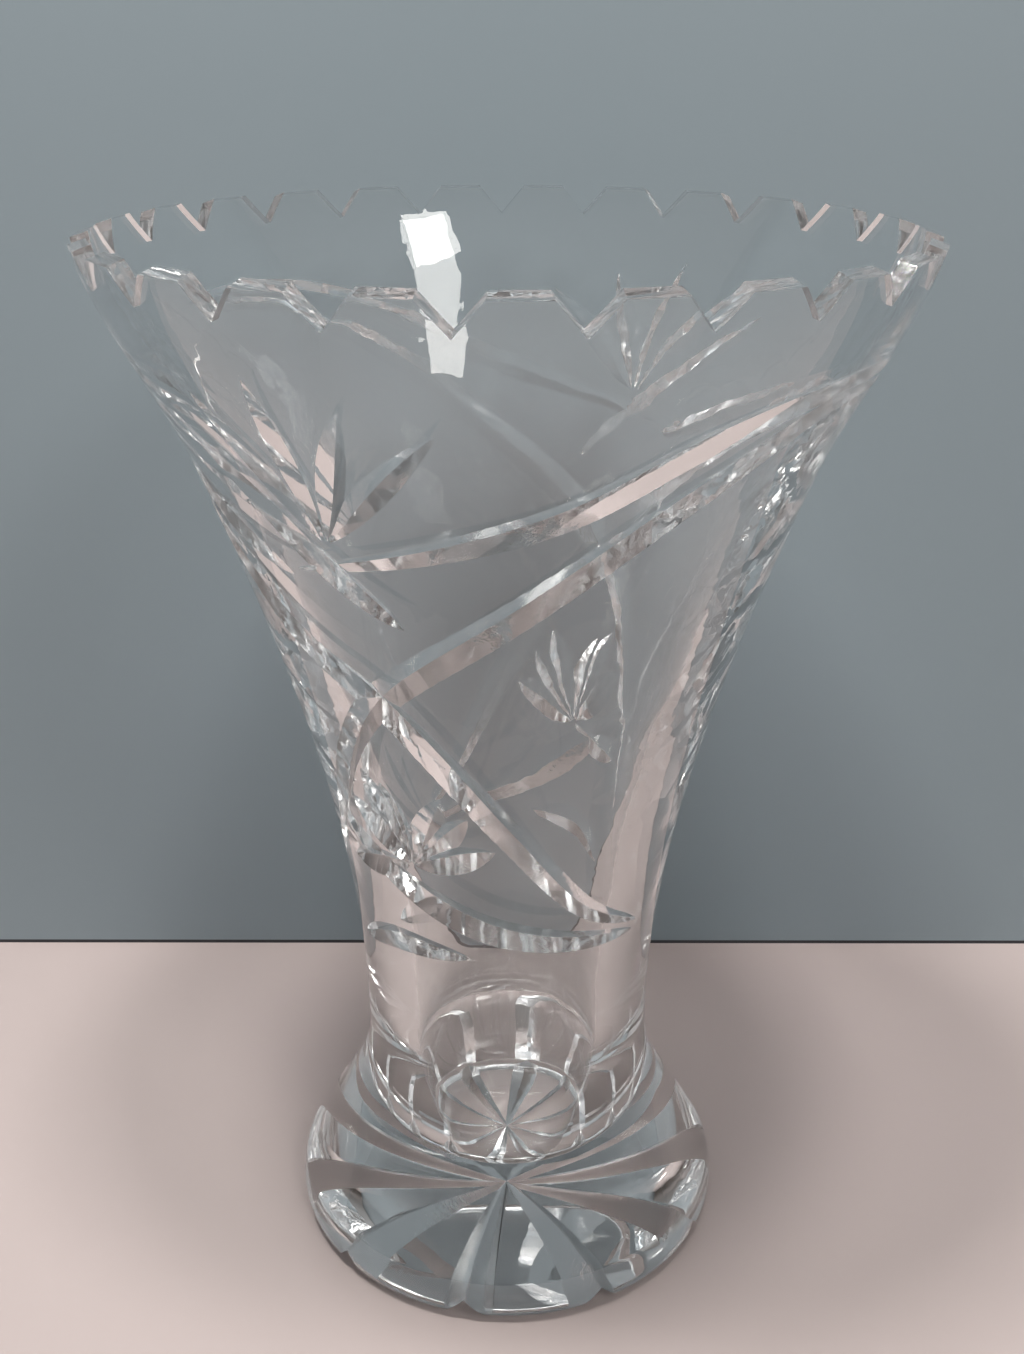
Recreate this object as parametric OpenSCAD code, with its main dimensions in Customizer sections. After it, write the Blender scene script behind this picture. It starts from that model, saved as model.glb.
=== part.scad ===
// Cut crystal vase: a flared bowl on a narrow neck, joined hot to a solid, star-cut foot.
// Millimetres, +Z up, origin at the centre of the resting face. Azimuth 0 points along -Y,
// and grows towards +X.

/* [Vase] */
// Overall height
vase_h = 250; // [210:1:310]
// Outer radius at the rim
rim_r = 90; // [75:1:110]
// Height of the flared lip, from the rim down
lip_drop = 49; // [40:1:60]
// Outer radius where the flared lip starts
lip_root_r = 68; // [60:1:74]
// Wall at the rim
rim_wall = 4; // [3.4:0.1:6]
// How far the ground rim falls from its inner to its outer edge
rim_fall = 1.2; // [0.2:0.1:2]

/* [Neck] */
// Outer radius of the neck at its narrowest
neck_r = 35.6; // [30:0.1:43]
// Height of the narrowest place above the base
neck_h = 57; // [48:1:68]
// Wall at the neck
neck_wall = 12.6; // [10:0.1:15.4]
// Height of the floor of the bore above the base
floor_h = 22; // [18:0.2:27]
// Radius of the corner between bore and floor
floor_corner = 3.5; // [2:0.5:9]
// How much the bore narrows from the neck to the floor
bore_draft = 0.8; // [0:0.1:3]
// Glass of the bowl under the floor
floor_wall = 8; // [6:0.5:9]

/* [Foot] */
// Largest radius of the foot
foot_r = 54.6; // [45:0.1:66]
// Height of the foot's widest circle
foot_edge_h = 5; // [3:0.5:8]
// Bevel of the foot's lower edge, measured inwards
foot_bevel = 4.2; // [2:0.1:6]
// Height of the rounded shoulder above the widest circle
shoulder_h = 8; // [5:0.5:10]
// How far the shoulder comes in
shoulder_in = 2.6; // [1:0.1:4]
// Height of the ring where foot and neck meet
ring_h = 35; // [30:0.5:40]
// How far that ring stands out from the neck
ring_step = 4.3; // [3:0.1:6]
// Radius of the seat under the bowl
seat_r = 27; // [24:0.5:32]

/* [Rim teeth] */
// Number of notches round the rim
notch_count = 25; // [18:1:32]
// Width of a notch at the rim
notch_w = 11.6; // [7:0.1:12]
// Depth of a notch
notch_d = 6.8; // [4:0.1:9]
// Azimuth of the first notch
notch_start = -6; // [-12:0.5:12]

/* [Star] */
// Number of rays under the foot
ray_count = 10; // [8:2:14]
// Depth of a ray at the foot's edge
ray_edge_d = 6; // [4:0.1:7]
// Depth of a ray at the middle of the star
ray_mid_d = 0.6; // [0.3:0.1:1.5]
// Angle of the wheel that cuts the rays
ray_angle = 92; // [80:1:110]
// Azimuth of the first ray
ray_start = -11; // [-18:0.5:18]

/* [Wheel cuts] */
// How often the pattern repeats round the bowl
repeat_count = 2; // [1:1:3]
// Gap between the narrowest place of the neck and the foot of the cut band
band_gap = 28; // [20:1:36]
// Uncut height under the rim
band_margin = 15; // [12:1:20]
// Angle of the wheel that cuts the long mitres
mitre_angle = 127; // [114:1:136]
// Angle of the wheel that cuts the leaves of the fans
leaf_angle = 124; // [112:1:130]
// Deepest cut of the long mitres
mitre_d = 2; // [1.5:0.1:2.5]
// Deepest cut of a leaf in the upper fan
upper_leaf_d = 1.7; // [1.3:0.1:2.1]
// Deepest cut of a leaf in the lower fan
lower_leaf_d = 2.1; // [1.6:0.1:2.6]

/* [Hidden] */
$fn = 96;
// How far a cutter stands out of the glass, and how far a wheel lifts off at the ends of its run
spill = 2;
lift = 0.7;
// How far the cutters of the notches run inwards and outwards from the edge of the rim
notch_inside = 16;
notch_outside = 8;
// How far the cutters of the rays run past the foot
ray_past_edge = 16;
// How far round its quarter turn the shoulder goes before it runs straight up to the ring
shoulder_turn = 60;
// How early the wall thickens below the rim
wall_ease = 0.8;
// Share of a run that gives the direction of a wheel
peek = 0.01;
bore_r = neck_r - neck_wall;
floor_r = bore_r - bore_draft;
ring_r = neck_r + ring_step;
base_r = foot_r - foot_bevel;
seat_h = floor_h - floor_wall;
rim_h = vase_h - rim_fall;
rim_slope = atan(rim_fall / rim_wall);
lip_root_h = vase_h - lip_drop;
band_lo = neck_h + band_gap;
band_hi = vase_h - band_margin;
// Steps of the outlines and of the wheels' runs
wall_steps = 16;
lip_steps = 8;
turn_steps = 6;
mitre_steps = 12;
leaf_steps = 6;
// How slowly a wheel reaches its full depth
mitre_taper = 0.4;
leaf_taper = 0.6;

// Lean of the wall, as radius gained for each millimetre of height
ring_lean = -0.5;
root_lean = 0.37;
lip_lean = 0.24;

// The long mitres, each as places that it runs through: [azimuth, share of the cut band], and its depth
mitres = [
    [[[76, 0.95], [50, 0.95], [30, 0.91], [10, 0.82], [-12, 0.76], [-42, 0.70]], 0.88],
    [[[74, 0.92], [51, 0.925], [30, 0.83], [0, 0.66],
        [-28, 0.515], [-45, 0.39], [-60, 0.25], [-78, 0.11]], 1],
    [[[-102, 0.9], [-80, 0.79], [-50, 0.595], [-28, 0.495], [0, 0.293], [25, 0.14], [54, 0.06]], 1],
    [[[-62, 0.28], [-42, 0.195], [-15, 0.125], [12, 0.085], [52, 0.05]], 1.05],
    [[[-66, 0.01], [-42, 0.05], [-12, 0.05]], 0.85],
    [[[-58, 0.91], [-34, 0.73], [-19, 0.635]], 0.9],
    [[[-80, 0.83], [-60, 0.755], [-41, 0.69]], 0.8],
];
// The two fans: where the leaves spring from, then the tip of each leaf
upper_fan = [[-31, 0.75], [[-47, 0.955], [-34, 0.99], [-20.5, 0.965], [-8, 0.935]]];
lower_fan = [[-30, 0.21],
    [[-2.5, 0.26], [-10, 0.32], [-17, 0.355], [-36, 0.36], [-42, 0.375], [-50, 0.31], [-59, 0.175]]];

function mix(a, b, t) = a + (b - a) * t;
function bezier(p0, p1, p2, p3, t) =
    pow(1 - t, 3) * p0 + 3 * t * pow(1 - t, 2) * p1 + 3 * t * t * (1 - t) * p2 + pow(t, 3) * p3;

// A stretch of wall between two places [radius, height], leaving the first with one lean and
// reaching the second with another. Its last point belongs to the next stretch.
function stretch(a, b, lean_a, lean_b, steps) =
    let (reach = (b[1] - a[1]) / 3)
    [for (i = [0 : steps - 1])
        bezier(a, a + reach * [lean_a, 1], b - reach * [lean_b, 1], b, i / steps)];

// Outer outline of the bowl, from the ring up to the rim
outer_wall = concat(
    stretch([ring_r, ring_h], [neck_r, neck_h], ring_lean, 0, turn_steps),
    stretch([neck_r, neck_h], [lip_root_r, lip_root_h], 0, root_lean, wall_steps),
    stretch([lip_root_r, lip_root_h], [rim_r, rim_h], root_lean, lip_lean, lip_steps),
    [[rim_r, rim_h]]
);

// Radius of that outline at height h
wall_table = [for (p = outer_wall) [p[1], p[0]]];
function wall_r(h) = lookup(h, wall_table);

// The wall thickens from the rim down to the neck
function wall_at(h) =
    let (t = pow(max(0, min(1, (vase_h - h) / (vase_h - neck_h))), wall_ease))
    mix(rim_wall, neck_wall, t * t * (3 - 2 * t));

// Inner outline, from the rim down to the middle of the floor
inner_wall = concat(
    [[rim_r - rim_wall + lip_lean * rim_fall, vase_h]],
    [for (i = [len(outer_wall) - 1 : -1 : turn_steps])
        let (p = outer_wall[i]) [p[0] - wall_at(p[1]), p[1]]],
    [for (i = [0 : turn_steps])
        let (a = 90 * i / turn_steps)
        [floor_r - floor_corner * (1 - cos(a)), floor_h + floor_corner * (1 - sin(a))]],
    [[0, floor_h]]
);

// Place on the outer wall, and the way out of the glass there
function on_wall(az, h) = [wall_r(h) * sin(az), -wall_r(h) * cos(az), h];
function wall_out(az, h) =
    let (lean = (wall_r(h + 1) - wall_r(h - 1)) / 2, n = norm([1, lean]))
    [sin(az) / n, -cos(az) / n, -lean / n];

// Smooth run through a list of places on the wall
function glide(p0, p1, p2, p3, t) =
    0.5 * (2 * p1 + (p2 - p0) * t + (2 * p0 - 5 * p1 + 4 * p2 - p3) * t * t
        + (3 * p1 - p0 - 3 * p2 + p3) * t * t * t);
function along(places, t) =
    let (n = len(places) - 1, i = min(floor(t * n), n - 1), u = t * n - i,
        before = i > 0 ? places[i - 1] : 2 * places[0] - places[1],
        after = i + 2 <= n ? places[i + 2] : 2 * places[n] - places[n - 1])
    glide(before, places[i], places[i + 1], after, u);
function band_height(share) = mix(band_lo, band_hi, share);

// Every wheel cut on the bowl: its run of places, its depth, the wheel's angle, the steps along it,
// how slowly it reaches its full depth, and its turn
wheel_cuts = [
    for (k = [0 : repeat_count - 1]) each [
        for (m = mitres) [m[0], mitre_d * m[1], mitre_angle, mitre_steps, mitre_taper, k],
        for (tip = upper_fan[1]) [[upper_fan[0], tip], upper_leaf_d, leaf_angle, leaf_steps, leaf_taper, k],
        for (tip = lower_fan[1]) [[lower_fan[0], tip], lower_leaf_d, leaf_angle, leaf_steps, leaf_taper, k]
    ]
];

// A V-edged wheel rolled along a run of places on the wall. It comes down into the glass and lifts out again.
module wheel_cut(places, depth, angle, steps, taper) {
    stations = [for (i = [0 : steps])
        let (t = i / steps, p = along(places, t), q = along(places, min(1, t + peek)),
            o = along(places, max(0, t - peek)),
            here = on_wall(p[0], band_height(p[1])),
            ahead = on_wall(q[0], band_height(q[1])) - on_wall(o[0], band_height(o[1])),
            out = wall_out(p[0], band_height(p[1])),
            side = cross(out, ahead) / norm(cross(out, ahead)),
            d = (depth + lift) * pow(sin(180 * t), taper) - lift,
            w = (d + spill) * tan(angle / 2))
        [here - out * d, here + out * spill + side * w, here + out * spill - side * w]];
    points = [for (s = stations) each s];
    sides = [for (i = [0 : steps - 1], k = [0 : 2])
        let (a = 3 * i + k, b = 3 * i + (k + 1) % 3)
        each [[b + 3, b, a], [a + 3, b + 3, a]]];
    polyhedron(points, concat([[0, 1, 2]], sides, [[3 * steps + 2, 3 * steps + 1, 3 * steps]]));
}

// The bowl after its first n wheel cuts, each taken from what the one before it left
module cut_bowl(n) {
    if (n == 0)
        bowl_blank();
    else
        difference() {
            cut_bowl(n - 1);
            let (cut = wheel_cuts[n - 1])
                rotate([0, 0, 360 * cut[5] / repeat_count])
                    wheel_cut(cut[0], cut[1], cut[2], cut[3], cut[4]);
        }
}

// V notches ground along the slope of the rim
module rim_notches() {
    half = notch_w / 2 * (1 + spill / notch_d);
    for (i = [0 : notch_count - 1])
        rotate([0, 0, notch_start + 360 * i / notch_count])
            translate([0, -rim_r, rim_h])
                rotate([90 + rim_slope, 0, 0])
                    translate([0, 0, -notch_inside])
                        linear_extrude(notch_inside + notch_outside)
                            polygon([[-half, spill], [0, -notch_d], [half, spill]]);
}

// V rays that deepen from the middle of the foot to its edge
module star() {
    lean = atan((ray_edge_d - ray_mid_d) / base_r);
    past_middle = ray_mid_d / 2 / tan(lean);
    reach = 2 * ray_edge_d;
    half = reach * tan(ray_angle / 2);
    for (i = [0 : ray_count - 1])
        rotate([0, 0, ray_start + 360 * i / ray_count])
            translate([0, 0, ray_mid_d])
                rotate([90 - lean, 0, 0])
                    translate([0, 0, -past_middle])
                        linear_extrude(foot_r + ray_past_edge + past_middle)
                            polygon([[0, 0], [-half, -reach], [half, -reach]]);
}

module bowl_blank() {
    difference() {
        rotate_extrude()
            polygon(concat([[0, seat_h], [seat_r, seat_h]], outer_wall, inner_wall));
        rim_notches();
    }
}

module bowl() {
    color([0.86, 0.9, 0.92, 0.45])
        cut_bowl(len(wheel_cuts));
}

module foot() {
    color([0.82, 0.88, 0.9, 0.5])
        difference() {
            rotate_extrude()
                polygon(concat(
                    [[0, 0], [base_r, 0]],
                    [for (i = [0 : turn_steps])
                        let (a = 90 * i / turn_steps)
                        [foot_r - foot_bevel * (1 - sin(a)), foot_edge_h * (1 - cos(a))]],
                    [for (i = [1 : turn_steps])
                        let (a = shoulder_turn * i / turn_steps)
                        [foot_r - shoulder_in * (1 - cos(a)), foot_edge_h + shoulder_h * sin(a)]],
                    [[ring_r, ring_h], [seat_r, seat_h], [0, seat_h]]));
            star();
        }
}

bowl();
foot();
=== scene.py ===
import bpy
import math
from mathutils import Matrix, Vector


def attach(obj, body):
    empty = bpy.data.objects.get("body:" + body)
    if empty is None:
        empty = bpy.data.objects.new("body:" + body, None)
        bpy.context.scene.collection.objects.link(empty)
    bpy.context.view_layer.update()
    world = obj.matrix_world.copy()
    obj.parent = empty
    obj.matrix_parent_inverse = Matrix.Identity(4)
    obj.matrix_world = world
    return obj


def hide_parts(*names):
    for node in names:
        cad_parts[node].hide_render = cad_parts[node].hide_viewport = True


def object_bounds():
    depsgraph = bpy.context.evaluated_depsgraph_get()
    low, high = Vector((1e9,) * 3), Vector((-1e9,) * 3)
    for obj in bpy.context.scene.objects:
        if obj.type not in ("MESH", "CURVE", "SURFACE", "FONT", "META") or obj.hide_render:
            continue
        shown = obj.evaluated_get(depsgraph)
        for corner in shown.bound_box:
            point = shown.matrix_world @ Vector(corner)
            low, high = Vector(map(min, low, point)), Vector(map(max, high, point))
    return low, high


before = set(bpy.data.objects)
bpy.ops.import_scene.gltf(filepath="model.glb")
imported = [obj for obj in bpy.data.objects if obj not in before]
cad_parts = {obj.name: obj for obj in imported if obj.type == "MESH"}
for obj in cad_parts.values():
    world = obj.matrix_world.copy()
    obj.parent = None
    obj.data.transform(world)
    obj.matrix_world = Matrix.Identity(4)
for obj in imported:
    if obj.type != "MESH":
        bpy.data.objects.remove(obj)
cadLow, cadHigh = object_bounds()
mm = 0.001
scene = bpy.context.scene
print("frame loaded:", ", ".join(sorted(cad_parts)))


def nothingSelected():
    if bpy.context.object and bpy.context.object.mode != "OBJECT":
        bpy.ops.object.mode_set(mode="OBJECT")
    bpy.ops.object.select_all(action="DESELECT")


def onlySelect(thing):
    nothingSelected()
    thing.select_set(True)
    bpy.context.view_layer.objects.active = thing


def nameIt(thing, name):
    thing.name = name
    thing.data.name = name
    return thing


# glass: every finish on the vase is lead crystal, only the surface changes
crystal = {
    "ior": 1.54,
    "waveStretch": (1, 1, 0.8),
    "finerWaves": 4.0,
    "hazeScale": 45,
    "hazeFrom": 0.5,
    "hazeFull": 0.75,
    "blown": {"tint": (0.985, 0.99, 0.99, 1), "waveScale": 34, "waveHeight": 0.00045,
              "streak": 0.08, "haze": 0.02},
    "foot": {"tint": (0.975, 0.985, 0.983, 1), "waveScale": 31, "waveHeight": 0.00018,
             "streak": 0.08, "haze": 0.015},
    "wheel": {"tint": (0.99, 0.992, 0.992, 1), "waveScale": 700, "waveHeight": 0.00002,
              "streak": 0.5, "haze": 0.03},
}


def putNode(tree, kind, place, **values):
    node = tree.nodes.new(kind)
    node.location = place
    for key, value in values.items():
        if hasattr(node, key):
            setattr(node, key, value)
        else:
            node.inputs[key].default_value = value
    return node


def newGroup(name, inputs, outputs):
    group = bpy.data.node_groups.new(name, "ShaderNodeTree")
    for label, kind, value in inputs:
        socket = group.interface.new_socket(label, in_out="INPUT", socket_type=kind)
        if value is not None:
            socket.default_value = value
    for label, kind in outputs:
        group.interface.new_socket(label, in_out="OUTPUT", socket_type=kind)
    start = putNode(group, "NodeGroupInput", (-900, 0))
    end = putNode(group, "NodeGroupOutput", (600, 0))
    return group, start, end


def makeWaveGroup():  # slow waves that a blown wall keeps after it is polished
    group, start, end = newGroup(
        "blownWaves",
        [("Scale", "NodeSocketFloat", 20.0), ("Height", "NodeSocketFloat", 0.0003),
         ("Streak", "NodeSocketFloat", 0.3)],
        [("Normal", "NodeSocketVector")],
    )
    coord = putNode(group, "ShaderNodeTexCoord", (-900, 260))
    stretch = putNode(group, "ShaderNodeMapping", (-700, 260), Scale=crystal["waveStretch"])
    slow = putNode(group, "ShaderNodeTexNoise", (-480, 260), Detail=1.0, Roughness=0.4)
    fine = putNode(group, "ShaderNodeTexNoise", (-480, 0), Detail=2.0, Roughness=0.5)
    faster = putNode(group, "ShaderNodeMath", (-700, -60), operation="MULTIPLY")
    faster.inputs[1].default_value = crystal["finerWaves"]
    streak = putNode(group, "ShaderNodeMath", (-260, 0), operation="MULTIPLY")
    total = putNode(group, "ShaderNodeMath", (-80, 160), operation="ADD")
    bump = putNode(group, "ShaderNodeBump", (180, 120), Strength=1.0)
    link = group.links.new
    link(coord.outputs["Object"], stretch.inputs["Vector"])
    link(stretch.outputs["Vector"], slow.inputs["Vector"])
    link(stretch.outputs["Vector"], fine.inputs["Vector"])
    link(start.outputs["Scale"], slow.inputs["Scale"])
    link(start.outputs["Scale"], faster.inputs[0])
    link(faster.outputs[0], fine.inputs["Scale"])
    link(fine.outputs[0], streak.inputs[0])
    link(start.outputs["Streak"], streak.inputs[1])
    link(slow.outputs[0], total.inputs[0])
    link(streak.outputs[0], total.inputs[1])
    link(total.outputs[0], bump.inputs["Height"])
    link(start.outputs["Height"], bump.inputs["Distance"])
    link(bump.outputs["Normal"], end.inputs["Normal"])
    return group


def makeHazeGroup():  # faint haze in patches, as handling leaves it
    group, start, end = newGroup(
        "handlingHaze",
        [("Scale", "NodeSocketFloat", 40.0), ("Least", "NodeSocketFloat", 0.0),
         ("Most", "NodeSocketFloat", 0.02)],
        [("Roughness", "NodeSocketFloat")],
    )
    coord = putNode(group, "ShaderNodeTexCoord", (-900, 260))
    patches = putNode(group, "ShaderNodeTexNoise", (-600, 260), Detail=5.0, Roughness=0.6)
    amount = putNode(group, "ShaderNodeMapRange", (-200, 160))
    amount.inputs["From Min"].default_value = crystal["hazeFrom"]
    amount.inputs["From Max"].default_value = crystal["hazeFull"]
    link = group.links.new
    link(coord.outputs["Object"], patches.inputs["Vector"])
    link(start.outputs["Scale"], patches.inputs["Scale"])
    link(patches.outputs[0], amount.inputs["Value"])
    link(start.outputs["Least"], amount.inputs["To Min"])
    link(start.outputs["Most"], amount.inputs["To Max"])
    link(amount.outputs["Result"], end.inputs["Roughness"])
    return group


waveGroup = makeWaveGroup()
hazeGroup = makeHazeGroup()


def makeGlass(name, finish):
    material = bpy.data.materials.new(name)
    material.use_nodes = True
    tree = material.node_tree
    shader = tree.nodes["Principled BSDF"]
    shader.inputs["Base Color"].default_value = finish["tint"]
    shader.inputs["Transmission Weight"].default_value = 1.0
    shader.inputs["Metallic"].default_value = 0.0
    shader.inputs["IOR"].default_value = crystal["ior"]
    haze = putNode(tree, "ShaderNodeGroup", (-320, 120), node_tree=hazeGroup)
    haze.inputs["Scale"].default_value = crystal["hazeScale"]
    haze.inputs["Most"].default_value = finish["haze"]
    wave = putNode(tree, "ShaderNodeGroup", (-320, -160), node_tree=waveGroup)
    wave.inputs["Scale"].default_value = finish["waveScale"]
    wave.inputs["Height"].default_value = finish["waveHeight"]
    wave.inputs["Streak"].default_value = finish["streak"]
    tree.links.new(haze.outputs["Roughness"], shader.inputs["Roughness"])
    tree.links.new(wave.outputs["Normal"], shader.inputs["Normal"])
    return material


def makeJoin():  # the hot join, where light passes from glass to glass unbent
    material = bpy.data.materials.new("hotJoin")
    material.use_nodes = True
    shader = material.node_tree.nodes["Principled BSDF"]
    shader.inputs["Base Color"].default_value = crystal["blown"]["tint"]
    shader.inputs["Alpha"].default_value = 0.0
    return material


blownGlass = makeGlass("blownGlass", crystal["blown"])
footGlass = makeGlass("footGlass", crystal["foot"])
wheelGlass = makeGlass("wheelGlass", crystal["wheel"])
hotJoin = makeJoin()
print("glass mixed")


# outline of the vase, in millimetres, with the overall sizes taken from the frame
outline = {
    "height": cadHigh.z / mm,
    "rimRadius": cadHigh.x / mm,
    "lipDrop": 49,
    "lipRootRadius": 68,
    "rimWall": 4,
    "rimFall": 1.2,
    "neckRadius": 35.6,
    "neckHeight": 57,
    "neckWall": 12.6,
    "floorHeight": 22,
    "floorCorner": 3.5,
    "boreDraft": 0.8,
    "floorWall": 8,
    "footRadius": 54.6,
    "footEdgeHeight": 5,
    "footBevel": 4.2,
    "shoulderHeight": 8,
    "shoulderIn": 2.6,
    "shoulderTurn": 60,
    "ringHeight": 35,
    "ringStep": 4.3,
    "seatRadius": 27,
    "ringLean": -0.5,
    "rootLean": 0.37,
    "lipLean": 0.24,
    "wallEase": 0.8,
    "around": 240,
    "ringSteps": 12,
    "wallSteps": 64,
    "lipSteps": 22,
    "boreSteps": 10,
    "cornerSteps": 10,
    "floorSteps": 4,
    "seatFlatSteps": 6,
    "seatConeSteps": 14,
    "flatSlack": 0.05,
    "coneSlack": 0.1,
    "weld": 0.002,
}
ringRadius = outline["neckRadius"] + outline["ringStep"]
seatHeight = outline["floorHeight"] - outline["floorWall"]
rimHeight = outline["height"] - outline["rimFall"]


def bezierStretch(low, high, leanLow, leanHigh, steps):
    reach = (high[1] - low[1]) / 3
    a = Vector(low)
    b = a + reach * Vector((leanLow, 1))
    d = Vector(high)
    c = d - reach * Vector((leanHigh, 1))
    places = []
    for i in range(steps):
        t = i / steps
        places.append((1 - t) ** 3 * a + 3 * t * (1 - t) ** 2 * b + 3 * t * t * (1 - t) * c + t ** 3 * d)
    return places


def partTurn(steps, degrees=90):
    return [math.radians(degrees * i / steps) for i in range(steps + 1)]


def outerWall():
    o = outline
    ring = (ringRadius, o["ringHeight"])
    neck = (o["neckRadius"], o["neckHeight"])
    root = (o["lipRootRadius"], o["height"] - o["lipDrop"])
    rim = (o["rimRadius"], rimHeight)
    wall = bezierStretch(ring, neck, o["ringLean"], 0, o["ringSteps"])
    wall += bezierStretch(neck, root, 0, o["rootLean"], o["wallSteps"])
    wall += bezierStretch(root, rim, o["rootLean"], o["lipLean"], o["lipSteps"])
    return wall + [Vector(rim)]


wallOutline = outerWall()


def wallRadius(height):
    for low, high in zip(wallOutline, wallOutline[1:]):
        if height <= high.y:
            share = (height - low.y) / (high.y - low.y)
            return low.x + (high.x - low.x) * max(share, 0)
    return wallOutline[-1].x


def wallThickness(height):
    o = outline
    share = (o["height"] - height) / (o["height"] - o["neckHeight"])
    share = max(0, min(1, share)) ** o["wallEase"]
    return o["rimWall"] + (o["neckWall"] - o["rimWall"]) * share * share * (3 - 2 * share)


def innerWall():
    o = outline
    wall = [Vector((o["rimRadius"] - o["rimWall"] + o["lipLean"] * o["rimFall"], o["height"]))]
    aboveNeck = [p for p in reversed(wallOutline) if p.y >= o["neckHeight"]]
    wall += [Vector((p.x - wallThickness(p.y), p.y)) for p in aboveNeck]
    floorRadius = o["neckRadius"] - o["neckWall"] - o["boreDraft"]
    boreRadius = wall[-1].x
    straight = o["floorHeight"] + o["floorCorner"]
    for i in range(1, o["boreSteps"]):
        share = i / o["boreSteps"]
        wall.append(Vector((boreRadius + (floorRadius - boreRadius) * share,
                            o["neckHeight"] + (straight - o["neckHeight"]) * share)))
    for a in partTurn(o["cornerSteps"]):
        wall.append(Vector((floorRadius - o["floorCorner"] * (1 - math.cos(a)),
                            o["floorHeight"] + o["floorCorner"] * (1 - math.sin(a)))))
    for i in range(o["floorSteps"] - 1, 0, -1):
        share = i / o["floorSteps"]
        wall.append(Vector(((floorRadius - o["floorCorner"]) * share, o["floorHeight"])))
    return wall + [Vector((0, o["floorHeight"]))]


def latheOutline(name, places, finish):
    nothingSelected()
    first = places[0]
    bpy.ops.mesh.primitive_plane_add(size=mm, location=(first.x * mm, 0, first.y * mm))
    turned = nameIt(bpy.context.object, name)
    bpy.ops.object.transform_apply(location=True, rotation=False, scale=False)
    bpy.ops.object.mode_set(mode="EDIT")
    bpy.ops.mesh.select_all(action="SELECT")
    bpy.ops.mesh.merge(type="CENTER")
    for low, high in zip(places, places[1:]):
        step = (high - low) * mm
        bpy.ops.mesh.extrude_region_move(TRANSFORM_OT_translate={"value": (step.x, 0, step.y)})
    bpy.ops.mesh.select_all(action="SELECT")
    bpy.ops.mesh.spin(steps=outline["around"], angle=math.tau, center=(0, 0, 0), axis=(0, 0, 1))
    bpy.ops.mesh.select_all(action="SELECT")
    bpy.ops.mesh.remove_doubles(threshold=outline["weld"] * mm)
    bpy.ops.mesh.normals_make_consistent(inside=False)
    bpy.ops.object.mode_set(mode="OBJECT")
    for material in finish:
        turned.data.materials.append(material)
    return turned


def joinFaces(piece):  # the seat faces between foot and bowl
    o = outline
    lean = (o["ringHeight"] - seatHeight) / (ringRadius - o["seatRadius"])
    for face in piece.data.polygons:
        c = face.center
        r = math.hypot(c.x, c.y) / mm
        h = c.z / mm
        offFlat = abs(h - seatHeight)
        offCone = abs(h - seatHeight - (r - o["seatRadius"]) * lean)
        onFlat = r < o["seatRadius"] and offFlat < o["flatSlack"]
        onCone = r >= o["seatRadius"] and offCone < o["coneSlack"]
        if (onFlat or onCone) and h <= o["ringHeight"]:
            face.material_index = 1


def seatOutline():  # from the axis out to the ring
    o = outline
    flat = [Vector((o["seatRadius"] * i / o["seatFlatSteps"], seatHeight)) for i in range(o["seatFlatSteps"])]
    a = Vector((o["seatRadius"], seatHeight))
    b = Vector((ringRadius, o["ringHeight"]))
    return flat + [a + (b - a) * i / o["seatConeSteps"] for i in range(o["seatConeSteps"])]


# wheel cuts on the bowl. places are (degrees from the front, share of the cut band)
wheelCuts = {
    "bandFoot": 85,
    "bandHead": 235,
    "turns": 2,
    "mitreAngle": 127,
    "leafAngle": 124,
    "mitreDepth": 2,
    "upperLeafDepth": 1.7,
    "lowerLeafDepth": 2.1,
    "spill": 2,
    "lift": 0.7,
    "peek": 0.01,
    "mitreTaper": 0.4,
    "leafTaper": 0.6,
    "mitreSteps": 64,
    "leafSteps": 24,
    "mitres": [
        ([(76, 0.95), (50, 0.95), (30, 0.91), (10, 0.82), (-12, 0.76), (-42, 0.70)], 0.88),
        ([(74, 0.92), (51, 0.925), (30, 0.83), (0, 0.66),
          (-28, 0.515), (-45, 0.39), (-60, 0.25), (-78, 0.11)], 1),
        ([(-102, 0.9), (-80, 0.79), (-50, 0.595), (-28, 0.495), (0, 0.293), (25, 0.14), (54, 0.06)], 1),
        ([(-62, 0.28), (-42, 0.195), (-15, 0.125), (12, 0.085), (52, 0.05)], 1.05),
        ([(-66, 0.01), (-42, 0.05), (-12, 0.05)], 0.85),
        ([(-58, 0.91), (-34, 0.73), (-19, 0.635)], 0.9),
        ([(-80, 0.83), (-60, 0.755), (-41, 0.69)], 0.8),
    ],
    "upperRoot": (-31, 0.75),
    "upperTips": [(-47, 0.955), (-34, 0.99), (-20.5, 0.965), (-8, 0.935)],
    "lowerRoot": (-30, 0.21),
    "lowerTips": [(-2.5, 0.26), (-10, 0.32), (-17, 0.355), (-36, 0.36),
                  (-42, 0.375), (-50, 0.31), (-59, 0.175)],
}


def bandHeight(share):
    return wheelCuts["bandFoot"] + (wheelCuts["bandHead"] - wheelCuts["bandFoot"]) * share


def onWall(azimuth, height):
    a = math.radians(azimuth)
    r = wallRadius(height)
    return Vector((r * math.sin(a), -r * math.cos(a), height))


def wallOut(azimuth, height):
    a = math.radians(azimuth)
    lean = (wallRadius(height + 1) - wallRadius(height - 1)) / 2
    return Vector((math.sin(a), -math.cos(a), -lean)).normalized()


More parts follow.
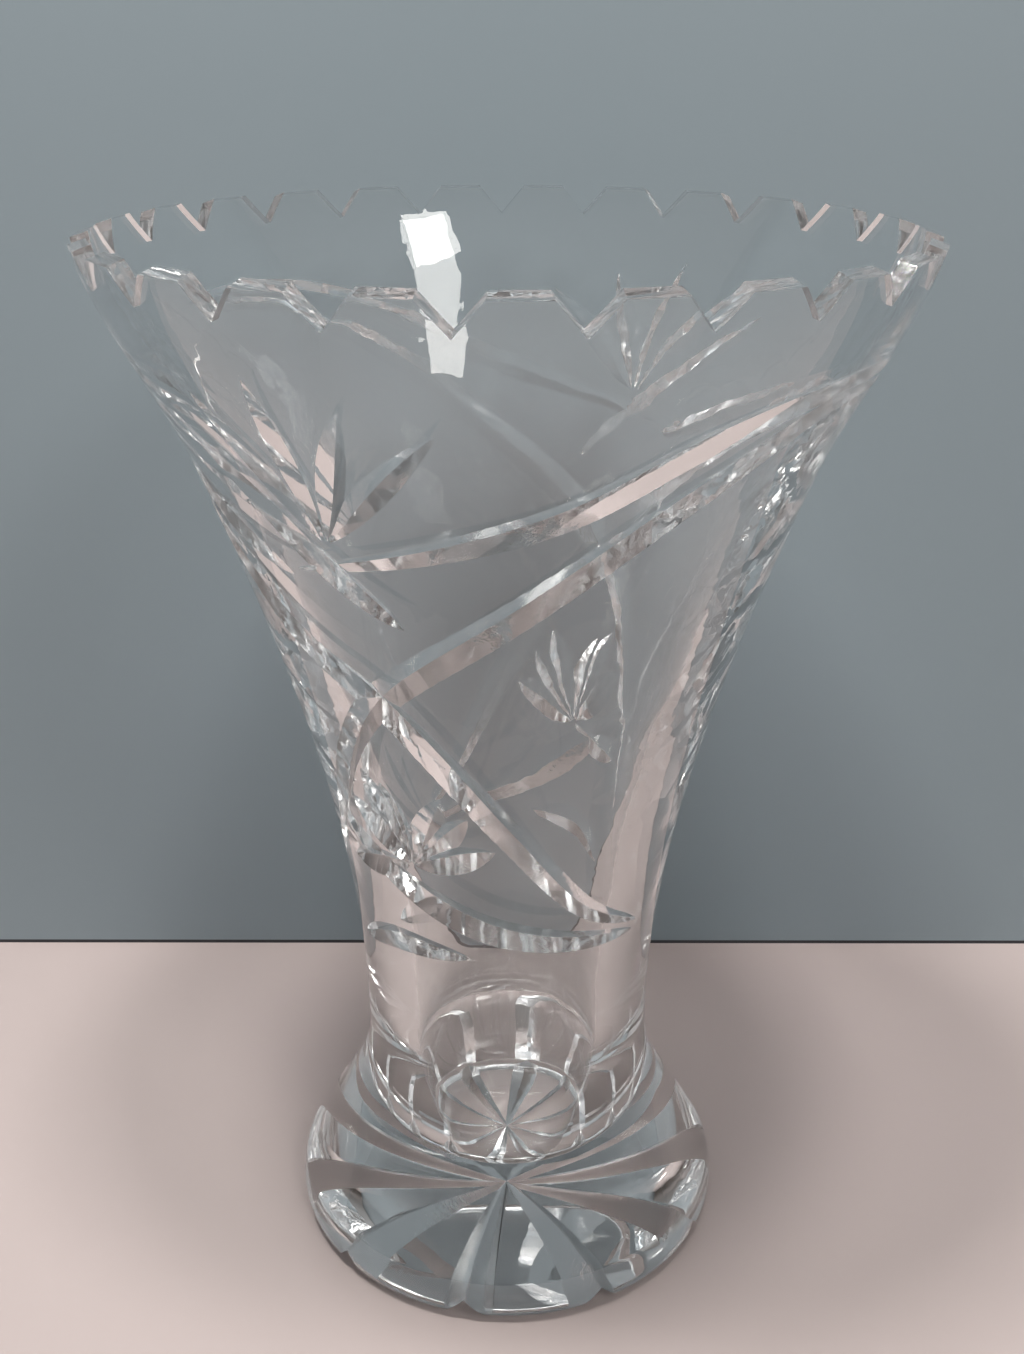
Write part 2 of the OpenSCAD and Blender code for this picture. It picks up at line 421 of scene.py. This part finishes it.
def glide(run, t):  # smooth run through the places
    n = len(run) - 1
    i = min(int(t * n), n - 1)
    u = t * n - i
    p = [Vector(q) for q in run]
    before = p[i - 1] if i > 0 else 2 * p[0] - p[1]
    after = p[i + 2] if i + 2 <= n else 2 * p[n] - p[n - 1]
    p1 = p[i]
    p2 = p[i + 1]
    return 0.5 * (2 * p1 + (p2 - before) * u + (2 * before - 5 * p1 + 4 * p2 - after) * u * u
                  + (3 * p1 - before - 3 * p2 + after) * u * u * u)


def vCutter(name, stations, turn):  # a three-cornered cutter through its stations, turned round the axis
    nothingSelected()
    bpy.ops.mesh.primitive_circle_add(vertices=3, radius=1, fill_type="NGON", location=(0, 0, 0))
    cutter = nameIt(bpy.context.object, name)
    bpy.ops.object.mode_set(mode="EDIT")
    bpy.ops.mesh.select_all(action="SELECT")
    for i in range(len(stations) - 1):
        bpy.ops.mesh.extrude_region_move(TRANSFORM_OT_translate={"value": (0, 0, 1)})
    bpy.ops.object.mode_set(mode="OBJECT")
    corners = sorted({round(math.atan2(v.co.y, v.co.x), 3) for v in cutter.data.vertices})
    around = Matrix.Rotation(math.radians(turn), 3, "Z")
    for vertex in cutter.data.vertices:
        corner = corners.index(round(math.atan2(vertex.co.y, vertex.co.x), 3))
        vertex.co = (around @ stations[round(vertex.co.z)][corner]) * mm
    bpy.ops.object.mode_set(mode="EDIT")
    bpy.ops.mesh.select_all(action="SELECT")
    bpy.ops.mesh.normals_make_consistent(inside=False)
    bpy.ops.object.mode_set(mode="OBJECT")
    cutter.data.materials.append(wheelGlass)
    return cutter


def wheelPath(name, run, depth, angle, steps, taper, turn):
    spill = wheelCuts["spill"]
    peek = wheelCuts["peek"]
    stations = []
    for i in range(steps + 1):
        t = i / steps
        p = glide(run, t)
        q = glide(run, min(1, t + peek))
        o = glide(run, max(0, t - peek))
        here = onWall(p.x, bandHeight(p.y))
        ahead = onWall(q.x, bandHeight(q.y)) - onWall(o.x, bandHeight(o.y))
        out = wallOut(p.x, bandHeight(p.y))
        side = out.cross(ahead).normalized()
        fullness = max(0, math.sin(math.pi * t)) ** taper
        d = (depth + wheelCuts["lift"]) * fullness - wheelCuts["lift"]
        half = (d + spill) * math.tan(math.radians(angle / 2))
        top = here + out * spill
        stations.append((here - out * d, top + side * half, top - side * half))
    return vCutter(name, stations, turn)


def cutAway(piece, cutter):
    onlySelect(piece)
    cut = piece.modifiers.new("cut", "BOOLEAN")
    cut.operation = "DIFFERENCE"
    cut.solver = "MANIFOLD"
    cut.object = cutter
    bpy.ops.object.modifier_apply(modifier=cut.name)
    onlySelect(cutter)
    bpy.ops.object.delete()


# rim teeth, ground along the slope of the rim
teeth = {
    "count": 25,
    "width": 11.6,
    "depth": 6.8,
    "first": -6,
    "inside": 16,
    "outside": 8,
}


def rimNotch(turn):
    half = teeth["width"] / 2 * (1 + wheelCuts["spill"] / teeth["depth"])
    slope = math.atan(outline["rimFall"] / outline["rimWall"])
    outwards = Vector((0, -math.cos(slope), -math.sin(slope)))
    up = Vector((0, -math.sin(slope), math.cos(slope)))
    stations = []
    for reach in (-teeth["inside"], teeth["outside"]):
        edge = Vector((0, -outline["rimRadius"], rimHeight)) + outwards * reach
        top = edge + up * wheelCuts["spill"]
        stations.append((edge - up * teeth["depth"], top + Vector((half, 0, 0)), top - Vector((half, 0, 0))))
    return vCutter("rimNotch", stations, turn)


def makeBowl():
    places = seatOutline() + wallOutline + innerWall()
    bowl = latheOutline("cutBowl", places, [blownGlass, hotJoin, wheelGlass])
    joinFaces(bowl)
    for i in range(teeth["count"]):
        cutAway(bowl, rimNotch(teeth["first"] + 360 * i / teeth["count"]))
    print("rim teeth ground")
    w = wheelCuts
    mitreWheel = (w["mitreAngle"], w["mitreSteps"], w["mitreTaper"])
    leafWheel = (w["leafAngle"], w["leafSteps"], w["leafTaper"])
    for k in range(w["turns"]):
        turn = 360 * k / w["turns"]
        for run, share in w["mitres"]:
            cutAway(bowl, wheelPath("mitre", run, w["mitreDepth"] * share, *mitreWheel, turn))
        for root, tips, depth in (("upperRoot", "upperTips", "upperLeafDepth"),
                                  ("lowerRoot", "lowerTips", "lowerLeafDepth")):
            for tip in w[tips]:
                cutAway(bowl, wheelPath("leaf", [w[root], tip], w[depth], *leafWheel, turn))
    print("mitres and fans cut")
    return bowl


# star under the foot
star = {
    "rays": 10,
    "edgeDepth": 6,
    "middleDepth": 0.6,
    "pastEdge": 16,
    "angle": 92,
    "first": -11,
    "baseSteps": 16,
    "edgeSteps": 10,
    "flankSteps": 12,
}


def starRay(turn):
    baseRadius = outline["footRadius"] - outline["footBevel"]
    rise = (star["edgeDepth"] - star["middleDepth"]) / baseRadius
    reach = 2 * star["edgeDepth"]
    half = reach * math.tan(math.radians(star["angle"] / 2))
    stations = []
    for out in (-star["middleDepth"] / 2 / rise, outline["footRadius"] + star["pastEdge"]):
        apex = Vector((0, -out, star["middleDepth"] + rise * out))
        stations.append((apex, apex + Vector((half, 0, -reach)), apex - Vector((half, 0, reach))))
    return vCutter("starRay", stations, turn)


def footOutline():
    o = outline
    baseRadius = o["footRadius"] - o["footBevel"]
    places = [Vector((baseRadius * i / star["baseSteps"], 0)) for i in range(star["baseSteps"] + 1)]
    for a in partTurn(star["edgeSteps"])[1:]:
        places.append(Vector((o["footRadius"] - o["footBevel"] * (1 - math.sin(a)),
                              o["footEdgeHeight"] * (1 - math.cos(a)))))
    for a in partTurn(star["edgeSteps"], o["shoulderTurn"])[1:]:
        places.append(Vector((o["footRadius"] - o["shoulderIn"] * (1 - math.cos(a)),
                              o["footEdgeHeight"] + o["shoulderHeight"] * math.sin(a))))
    shoulder = places[-1]
    ring = Vector((ringRadius, o["ringHeight"]))
    flank = star["flankSteps"]
    places += [shoulder + (ring - shoulder) * i / flank for i in range(1, flank)]
    return places + [ring] + list(reversed(seatOutline()))


def makeFoot():
    foot = latheOutline("starFoot", footOutline(), [footGlass, hotJoin, wheelGlass])
    joinFaces(foot)
    for i in range(star["rays"]):
        cutAway(foot, starRay(star["first"] + 360 * i / star["rays"]))
    print("star cut")
    return foot


smoothUpTo = 12  # degrees, so that the edges of the cuts stay crisp


def finishPiece(piece, node):
    onlySelect(piece)
    bpy.ops.object.shade_smooth_by_angle(angle=math.radians(smoothUpTo))
    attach(piece, "root")
    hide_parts(node)
    print(piece.name, len(piece.data.polygons), "faces")


finishPiece(makeBowl(), "bowl")
finishPiece(makeFoot(), "foot")


# table, wall, light and camera
room = {
    "size": 6,
    "tableDrop": 0.0002,
    "wallBehind": 0.113,
    "tableColour": (0.42, 0.352, 0.337, 1),
    "tableRoughness": 0.5,
    "wallColour": (0.238, 0.288, 0.316, 1),
    "wallRoughness": 0.7,
    # a near-black strip along the foot of the wall: painted shade for the dark line where table meets wall
    "creaseShadeHeight": 0.0012,
    "creaseShadeForward": 0.0004,
    "paintedCreaseShadeColour": (0.03, 0.03, 0.035, 1),
    "creaseShadeRoughness": 0.8,
}
lampAim = (0, 0, 0.12)
lamps = {
    "overheadLeft": {"place": (-0.19, -0.16, 1.1), "size": (0.15, 0.15), "power": 8.5,
                     "colour": (1, 0.99, 0.97)},
    "overheadRight": {"place": (0.075, -0.21, 1.2), "size": (0.15, 0.15), "power": 7.5,
                      "colour": (1, 0.98, 0.96)},
    "ceilingPanel": {"place": (0.78, -1.32, 1.62), "size": (0.48, 0.52), "power": 9,
                     "colour": (1, 0.98, 0.94)},
}
sky = {
    "low": 0.05,
    "lowColour": (0.1, 0.085, 0.075, 1),
    "high": 0.75,
    "highColour": (0.62, 0.62, 0.62, 1),
    "strength": 0.6,
}


def matte(name, colour, roughness, seeThroughBack=False):
    material = bpy.data.materials.new(name)
    material.use_nodes = True
    tree = material.node_tree
    shader = tree.nodes["Principled BSDF"]
    shader.inputs["Base Color"].default_value = colour
    shader.inputs["Roughness"].default_value = roughness
    if seeThroughBack:
        clear = putNode(tree, "ShaderNodeBsdfTransparent", (0, -300))
        side = putNode(tree, "ShaderNodeNewGeometry", (0, 300))
        blend = putNode(tree, "ShaderNodeMixShader", (300, 100))
        tree.links.new(side.outputs["Backfacing"], blend.inputs[0])
        tree.links.new(shader.outputs[0], blend.inputs[1])
        tree.links.new(clear.outputs[0], blend.inputs[2])
        tree.links.new(blend.outputs[0], tree.nodes["Material Output"].inputs["Surface"])
    return material


def makeStage():
    r = room
    upright = (math.pi / 2, 0, 0)
    nothingSelected()
    bpy.ops.mesh.primitive_plane_add(size=r["size"], location=(0, 0, -r["tableDrop"]))
    table = nameIt(bpy.context.object, "table")
    table.data.materials.append(matte("tableTop", r["tableColour"], r["tableRoughness"]))
    wallPlace = (0, r["wallBehind"], r["size"] / 2)
    bpy.ops.mesh.primitive_plane_add(size=r["size"], location=wallPlace, rotation=upright)
    wall = nameIt(bpy.context.object, "wall")
    wall.data.materials.append(matte("wallPaint", r["wallColour"], r["wallRoughness"], seeThroughBack=True))
    # painted shade: a thin dark strip just in front of the wall's foot, standing for the shade in the crease
    creaseShadePlace = (0, r["wallBehind"] - r["creaseShadeForward"], r["creaseShadeHeight"] / 2)
    bpy.ops.mesh.primitive_plane_add(size=1, location=creaseShadePlace, rotation=upright)
    paintedCreaseShade = nameIt(bpy.context.object, "paintedCreaseShade")
    paintedCreaseShade.scale = (r["size"], r["creaseShadeHeight"], 1)
    paintedCreaseShade.data.materials.append(matte("paintedCreaseShadow", r["paintedCreaseShadeColour"], r["creaseShadeRoughness"], seeThroughBack=True))


def areaLight(name, values):
    light = bpy.data.lights.new(name, "AREA")
    light.shape = "RECTANGLE"
    light.size, light.size_y = values["size"]
    light.energy = values["power"]
    light.color = values["colour"]
    lamp = bpy.data.objects.new(name, light)
    scene.collection.objects.link(lamp)
    lamp.location = values["place"]
    towards = Vector(lampAim) - Vector(values["place"])
    lamp.rotation_euler = towards.to_track_quat("-Z", "Y").to_euler()


def makeLight():
    for name, values in lamps.items():
        areaLight(name, values)
    world = bpy.data.worlds.new("softRoom")  # pale ceiling over a dim, warm room
    world.use_nodes = True
    tree = world.node_tree
    coord = putNode(tree, "ShaderNodeTexCoord", (-800, 0))
    split = putNode(tree, "ShaderNodeSeparateXYZ", (-600, 0))
    ramp = putNode(tree, "ShaderNodeValToRGB", (-400, 0))
    ramp.color_ramp.elements[0].position = sky["low"]
    ramp.color_ramp.elements[0].color = sky["lowColour"]
    ramp.color_ramp.elements[1].position = sky["high"]
    ramp.color_ramp.elements[1].color = sky["highColour"]
    tree.links.new(coord.outputs["Generated"], split.inputs[0])
    tree.links.new(split.outputs["Z"], ramp.inputs[0])
    tree.links.new(ramp.outputs[0], tree.nodes["Background"].inputs["Color"])
    tree.nodes["Background"].inputs["Strength"].default_value = sky["strength"]
    scene.world = world


cameraPlace = {
    "place": (0, -0.3349, 0.2889),
    "pitch": 23.03,
    "yaw": -0.17,
    "roll": 0.16,
    "lens": 40.87,
    "sensor": 36,
}


def makeCamera():
    data = bpy.data.cameras.new("camera")
    data.lens = cameraPlace["lens"]
    data.sensor_width = cameraPlace["sensor"]
    camera = bpy.data.objects.new("camera", data)
    scene.collection.objects.link(camera)
    camera.location = cameraPlace["place"]
    turn = Matrix.Rotation(math.radians(cameraPlace["yaw"]), 3, "Z")
    tilt = Matrix.Rotation(math.radians(90 - cameraPlace["pitch"]), 3, "X")
    roll = Matrix.Rotation(math.radians(cameraPlace["roll"]), 3, "Z")
    camera.rotation_euler = (turn @ tilt @ roll).to_euler()
    scene.camera = camera


makeStage()
makeLight()
makeCamera()
scene.cycles.use_denoising = True
bounces = 64  # light runs far inside cut glass
scene.cycles.max_bounces = bounces
scene.cycles.glossy_bounces = bounces
scene.cycles.transmission_bounces = bounces
scene.cycles.transparent_max_bounces = bounces
scene.view_settings.view_transform = "Standard"
print("stage, light and camera set")
